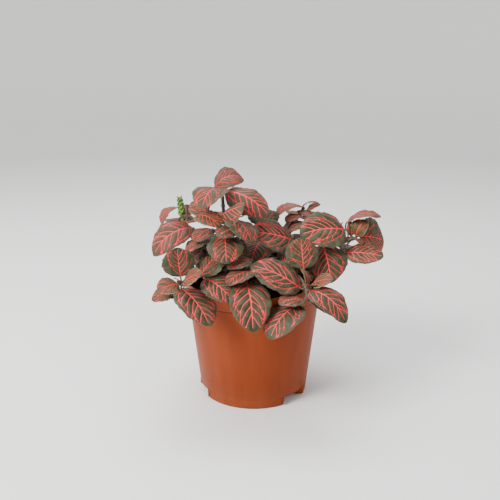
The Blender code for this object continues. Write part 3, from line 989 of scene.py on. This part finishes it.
def makeLeafTop():
    finish, tree, shader, where = newMaterial(
        "leafTop", specular=0.18, sheen=0.07, sheenRoughness=0.4, sheenTint=leafColours["sheen"]
    )
    c = leafColours
    vein, along, edge = (attribute(tree, n) for n in ("vein", "alongLeaf", "edgeShare"))
    young, paintedSheen = attribute(tree, "young"), attribute(tree, "paintedSheen")
    cloud = remap(tree, noiseOf(tree, where, 140.0, 4.0), 0.35, 0.68)
    colour = mixColours(tree, cloud, c["green"], c["greyGreen"])
    rim = multiply(tree, remap(tree, edge, 0.6, 1.0), 0.55)
    colour = mixColours(tree, rim, colour, c["greyGreen"])
    colour = mixColours(tree, multiply(tree, young, 0.75), colour, c["olive"])
    # painted sheen: each leaf's share of mauve grazing-angle sheen, laid on in patches
    patches = remap(tree, noiseOf(tree, where, 90.0), 0.2, 0.75, 0.55, 1.0)
    sheenShare = multiply(tree, paintedSheen, patches)
    colour = mixColours(tree, sheenShare, colour, c["sheenMauve"])
    halo = multiply(tree, remap(tree, vein, 0.9, 0.0), 0.45)
    colour = mixColours(tree, halo, colour, c["halo"])
    paleEdge = multiply(tree, remap(tree, edge, 0.9, 0.985), young)
    colour = mixColours(tree, paleEdge, colour, c["youngEdge"])
    veinColour = mixColours(tree, remap(tree, along, 0.02, 0.3), c["veinRed"], c["veinPink"])
    veinColour = mixColours(tree, young, veinColour, c["youngVein"])
    mask = remap(tree, vein, 0.2, -0.08)
    faded = multiply(tree, mask, remap(tree, edge, 1.0, 0.8, 0.25, 1.0))
    # the painted sheen also washes out the veins
    faded = multiply(tree, faded, remap(tree, paintedSheen, 0.2, 1.0, 1.0, 0.72))
    colour = mixColours(tree, faded, colour, veinColour)
    paint(tree, shader, colour)
    cells = add(tree, "TexVoronoi", {"Vector": where, "Scale": 2200.0}).outputs["Distance"]
    gloss = noiseOf(tree, where, 500.0, 2.0)
    tree.links.new(remap(tree, gloss, 0.3, 0.7, 0.42, 0.6), shader.inputs["Roughness"])
    bumpInto(tree, shader, cells, 0.35, 0.00025)
    return finish


def makeLeafUnder():
    c = leafColours
    finish, tree, shader, where = newMaterial("leafUnder", roughness=0.65, sheen=0.3, sheenRoughness=0.4)
    vein = attribute(tree, "vein")
    cloud = remap(tree, noiseOf(tree, where, 120.0, 4.0), 0.3, 0.7)
    colour = mixColours(tree, cloud, c["under"], c["underMauve"])
    halo = multiply(tree, remap(tree, vein, 0.3, 0.0), 0.5)
    colour = mixColours(tree, halo, colour, c["halo"])
    paint(tree, shader, colour)
    bumpInto(tree, shader, noiseOf(tree, where, 1800.0, 3.0), 0.4, 0.0002)
    return finish


def makeStalkSkin():
    c = leafColours
    finish, tree, shader, where = newMaterial("leafStalk", roughness=0.55, sheen=0.3)
    cloud = remap(tree, noiseOf(tree, where, 300.0, 3.0), 0.35, 0.7)
    colour = mixColours(tree, cloud, c["stalk"], c["halo"])
    paint(tree, shader, colour)
    bumpInto(tree, shader, noiseOf(tree, where, 1600.0, 3.0), 0.4, 0.0002)
    return finish


def makeLeaf(name, stem, share, place, tone, seed, finishes, nodes=(), detail=1.0):
    rng = np.random.default_rng(seed)
    place = (*place[:2], place[2] * blade["fullness"], *place[3:])
    rows, columns = int(blade["rows"] * detail), int(blade["columns"] * detail)
    points, faces, slots, values, facts = bladeBody(place, rng, rows, columns)
    stalk, stalkFaces = stalkBody(stem, share, facts)
    start = len(points)
    faces = [tuple(f) for f in faces] + [tuple(start + k for k in f) for f in stalkFaces]
    slots = np.concatenate([slots, np.full(len(stalkFaces), 2)])
    points = np.vstack([points, stalk])
    values = {key: np.concatenate([v, np.full(len(stalk), 0.5)]) for key, v in values.items()}
    values["young"] = np.full(len(points), tone[0])
    # the leaf's share of painted mauve sheen, for its material
    values["paintedSheen"] = np.full(len(points), tone[1])
    points[:, 2] += pot["height"]
    made = meshObject(name, points * mm, faces, finishes, slots, values)
    addPiece(made, "veined_leaf", *nodes)


def makeLeaves(finishes):
    seed = blade["firstSeed"]
    for stem, places in leafPlaces.items():
        for number, (share, *place) in enumerate(places, start=1):
            key = f"{stem}_{number}"
            seed += 1
            tone = leafTones.get(key, (0.0, 0.15))
            makeLeaf("blade_" + key, stem, share, place, tone, seed, finishes, ["leaf_" + key])
        print("leaves ready on stem", stem)


# small young leaves and buds, placed as above, each with how young it is and how much painted mauve
# sheen it carries
sprigs = {
    "top": [(0.97, (-24, 8, 72), (-7, 12, 74), 10, 0, 0.15, 8, 0.2, 0.8)],
    "spike": [
        (0.95, (-57, 0, 52), (-57, -2, 64), 8, 0, 0.1, 20, 0.3, 0.7),
        (0.94, (-64, 4, 47), (-52, -4, 54), 9, -30, 0.1, 12, 0.2, 0.8),
    ],
    "middle": [(0.94, (-16, -30, 49), (-29, -44, 46), 17, -18, 0.12, 8, 0.0, 0.1)],
    "back": [
        (0.98, (45, 30, 57), (58, 26, 59), 7, 0, 0.15, 10, 0.2, 0.8),
        (0.96, (48, 32, 50), (60, 31, 57), 9, 20, 0.15, 16, 0.6, 0.0),
        (0.9, (40, 28, 52), (53, 18, 46), 13, 0, 0.15, 8, 0.1, 0.8),
        (0.7, (30, 14, 36), (34, 12, 48), 15, 10, 0.05, 8, 0.0, 0.7),
        (0.8, (44, 14, 44), (25, 4, 37), 17, -8, 0.12, 8, 0.0, 0.4),
        (0.95, (40, 20, 50), (28, 12, 45), 13, -6, 0.12, 8, 0.1, 0.6),
    ],
    "right": [
        (0.99, (83, -3, 37), (82, 0, 49), 8, 0, 0.1, 18, 0.5, 0.2),
        (0.99, (87, -4, 37), (96, -2, 50), 14, 40, 0.3, 14, 1.0, 0.0),
        (0.99, (86, -7, 35), (91, -14, 31), 6, 0, 0.15, 18, 1.0, 0.0),
        (0.99, (83, -6, 36), (77, -11, 33), 6, 0, 0.15, 18, 1.0, 0.0),
        (0.8, (75, 0, 25), (83, -8, 17), 12, 0, 0.15, 8, 0.0, 0.9),
        (0.86, (72, 3, 34), (76, 0, 48), 11, 10, 0.12, 8, 0.1, 0.9),
        (0.6, (68, 4, 15), (75, 0, 3), 9, 0, 0.1, 8, 0.0, 0.6),
    ],
    "low": [
        (0.97, (42, -53, 9), (37, -44, 20), 9, 30, 0.2, 10, 1.0, 0.0),
        (0.99, (43, -56, 8), (38, -62, 12), 4.5, 0, 0.15, 18, 1.0, 0.0),
        (0.99, (45, -54, 8), (48, -60, 11), 4, 0, 0.15, 18, 1.0, 0.0),
    ],
    "left": [
        (0.99, (-60, -50, 9), (-58, -56, 14), 4, 0, 0.15, 18, 1.0, 0.0),
        (0.99, (-59, -48, 9), (-64, -51, 14), 4, 0, 0.15, 18, 1.0, 0.0),
    ],
    "front": [(0.8, (16, -41, 11), (2, -47, 7), 13, 0, 0.15, 8, 0.0, 0.2)],
}


def makeSprigs(finishes):
    count = 0
    for stem, places in sprigs.items():
        for share, *place, young, paintedSheen in places:
            count += 1
            name = f"sprig_leaf_{count:02d}"
            seed, tone = blade["sprigSeed"] + count, (young, paintedSheen)
            makeLeaf(name, stem, share, place, tone, seed, finishes, detail=blade["sprigDetail"])
    print("sprigs ready:", count)


# leaves that fill the crown between the placed ones, kept clear of them
fillers = dict(
    seed=12,
    tries=16000,
    most=84,
    gap=1.6,
    lengths=(22.0, 36.0),
    slender=(0.62, 0.76),
    droop=(5.0, 55.0),
    stalks=(5.0, 28.0),
    halfSpan=60.0,
    front=-38.0,
    crest=35.0,
    lowest=-22.0,
    reach=86.0,
    rimClear=3.5,
    soilClear=2.0,
    detail=0.62,
    leafSeed=500,
)

extraShoots = {
    "fillBack": ((6, 32), [(10, 44, 12), (16, 56, 18), (22, 64, 18)]),
    "fillBackLeft": ((-26, 26), [(-34, 36, 12), (-42, 46, 20), (-48, 52, 22)]),
    "fillBackRight": ((30, 20), [(40, 28, 12), (50, 36, 16), (56, 40, 14)]),
    "fillMiddle": ((4, 8), [(6, 8, 12), (8, 6, 26), (8, 4, 34)]),
    "fillLeft": ((-30, 4), [(-38, 4, 8), (-46, 4, 18), (-50, 4, 26)]),
}


def insideCrown(points):  # whether a filling leaf stays in the crown's rounded outline
    x, y, z = points.T
    seenHeight = z + 0.28 * y  # how high it stands to someone looking slightly down
    crest = fillers["crest"] - 0.03 * np.maximum(np.abs(x) - 40, 0) ** 2
    reach = np.hypot(x, y)
    if (seenHeight > crest).any() or (np.abs(x) > fillers["halfSpan"]).any():
        return False
    if (y < fillers["front"]).any() or (z < fillers["lowest"]).any() or (reach > fillers["reach"]).any():
        return False
    onRim = (np.abs(reach - pot["rimRadius"] + 0.5) < fillers["rimClear"]) & (z < 2.0)
    inWall = (reach > 52) & (z < 1.0) & (reach < 64)
    low = z < soilTop(x, y) - pot["height"] + fillers["soilClear"]
    return not (onRim.any() or inWall.any() or (low & (reach < pot["rimRadius"])).any())


def pointFinder(points):
    finder = mathutils.kdtree.KDTree(len(points))
    for index, point in enumerate(points):
        finder.insert(point, index)
    finder.balance()
    return finder


def makeFillers(finishes):
    rng = np.random.default_rng(fillers["seed"])
    taken = [bladeSamples(place) for places in leafPlaces.values() for _, *place in places]
    taken += [bladeSamples(place[:6]) for places in sprigs.values() for _, *place in places]
    shares = np.linspace(0.12, 0.97, 24)
    anchors, anchorKeys = [], []
    for name in stemPaths:
        curve = stemCurve(name, 3)
        taken.append(stemCurve(name, 8)[8:])
        for share in shares:
            anchors.append(pointOn(curve, share)[0])
            anchorKeys.append((name, share))
    anchors = np.array(anchors)
    cloud = np.vstack(taken)
    near = pointFinder(cloud)
    found = 0
    for _ in range(fillers["tries"]):
        if found >= fillers["most"]:
            break
        pick = rng.integers(len(anchors))
        anchor = anchors[pick]
        turn = math.atan2(anchor[1], anchor[0]) + rng.normal(0, 0.9)
        flat = np.array([math.cos(turn), math.sin(turn), 0.0])
        rise = rng.uniform(-0.35, 0.5)
        outward = flat * math.cos(rise) + (0, 0, math.sin(rise))
        base = anchor + outward * rng.uniform(*fillers["stalks"])
        droop = math.radians(rng.uniform(*fillers["droop"]))
        length = rng.uniform(*fillers["lengths"])
        tip = base + (flat * math.cos(droop) - (0, 0, math.sin(droop))) * length
        width = length * rng.uniform(*fillers["slender"])
        place = (base, tip, width, rng.normal(0, 14), rng.uniform(0.05, 0.14), rng.uniform(6, 14))
        points = bladeSamples(place)
        if not insideCrown(points):
            continue
        if any(near.find(point)[2] < fillers["gap"] for point in points):
            continue
        cloud = np.vstack([cloud, points])
        near = pointFinder(cloud)
        found += 1
        stem, share = anchorKeys[pick]
        # no youth, and a random share of painted mauve sheen
        tone = (0.0, rng.uniform(0.0, 0.45))
        name, seed = f"filling_leaf_{found:02d}", fillers["leafSeed"] + found
        makeLeaf(name, stem, share, place, tone, seed, finishes, detail=fillers["detail"])
    print("filling leaves ready:", found)


# the young flower spike
spike = dict(
    length=20.0,
    lean=7.0,
    tiers=9,
    bractLength=6.4,
    bractWidth=6.0,
    bractThickness=0.32,
    spread=27.0,
    seed=31,
    green=(0.10, 0.24, 0.006),
    dark=(0.045, 0.12, 0.006),
    tipGreen=(0.17, 0.31, 0.012),
)


def bractBody(place, outward, up, size):  # a small keeled scoop that hugs the spike
    rows, columns = 12, 9
    t, v = np.linspace(0, 1, rows), np.linspace(-1, 1, columns)
    side = np.cross(up, outward)
    lean = math.radians(spike["spread"])
    way = up * math.cos(lean) + outward * math.sin(lean)
    out = outward * math.cos(lean) - up * math.sin(lean)
    shape = spike["bractWidth"] / 2 * size * np.clip(t / 0.35, 0.35, 1) ** 0.7
    shape = shape * np.clip((1 - t) / 0.62, 0.0, 1.0) ** 0.8 + 0.05
    length = spike["bractLength"] * size
    curve = np.outer(t, way) * length + np.outer(0.16 * length * (1 - (2 * t - 1) ** 2), out)
    wrap = -0.55 * np.outer(shape, v**2)
    middle = place + curve[:, None, :] + side * np.outer(shape, v)[:, :, None]
    middle = middle + out * wrap[:, :, None]
    thick = out * spike["bractThickness"] / 2
    points = np.vstack([(middle + thick).reshape(-1, 3), (middle - thick).reshape(-1, 3)])
    faces = [tuple(face) for face in np.vstack(sheetFaces(rows, columns))]
    return points, faces, np.tile(np.repeat(t, columns), 2)


def makeBractSkin():
    finish, tree, shader, where = newMaterial("greenBracts", sheen=0.2)
    along = attribute(tree, "alongBract")
    colour = mixColours(tree, remap(tree, along, 0.1, 0.75), spike["dark"], spike["green"])
    colour = mixColours(tree, remap(tree, along, 0.8, 1.0), colour, spike["tipGreen"])
    mottle = remap(tree, noiseOf(tree, where, 700.0, 3.0), 0.35, 0.7, 0.0, 0.35)
    colour = mixColours(tree, mottle, colour, spike["dark"])
    paint(tree, shader, colour)
    bumpInto(tree, shader, noiseOf(tree, where, 2200.0, 2.0), 0.4, 0.0002)
    return finish


def makeSpike():
    rng = np.random.default_rng(spike["seed"])
    tip, _ = pointOn(stemCurve("spike", 3), 1.0)
    lean = math.radians(spike["lean"])
    up = np.array([-math.sin(lean), 0.0, math.cos(lean)])
    foot = tip + (0.0, 0.0, 1.2)
    core = [foot + up * spike["length"] * t for t in np.linspace(0, 0.86, 12)]
    bodies = [(*tube(core, np.linspace(1.1, 0.5, 12), 10), None)]
    for tier in range(spike["tiers"]):
        share = tier / (spike["tiers"] - 1)
        for half in range(2):
            turn = math.pi / 2 * tier + math.pi * half + 0.5 + rng.normal(0, 0.1)
            outward = np.array([math.cos(turn), math.sin(turn), 0.0])
            outward = unit(outward - up * (outward @ up))
            size = (1.0 - 0.42 * share) * rng.uniform(0.92, 1.08)
            place = foot + up * spike["length"] * 0.78 * share + outward * 0.8
            bodies.append(bractBody(place, outward, up, size))
    points, faces = mergedBodies([body[:2] for body in bodies])
    values = [np.full(len(b[0]), 0.2) if b[2] is None else b[2] for b in bodies]
    points[:, 2] += pot["height"]
    values = {"alongBract": np.concatenate(values)}
    made = meshObject("flower_bracts", points * mm, faces, [makeBractSkin()], attributes=values)
    addPiece(made, "green_bracts", "flower_spike")
    print("flower spike ready:", 2 * spike["tiers"], "bracts")


makeStudio()
makePot()
makeSoil()
stemPaths.update(extraShoots)
makeStems()
leafFinishes = makeLeafMaterials()
makeLeaves(leafFinishes)
makeSprigs(leafFinishes)
makeFillers(leafFinishes)
makeSpike()
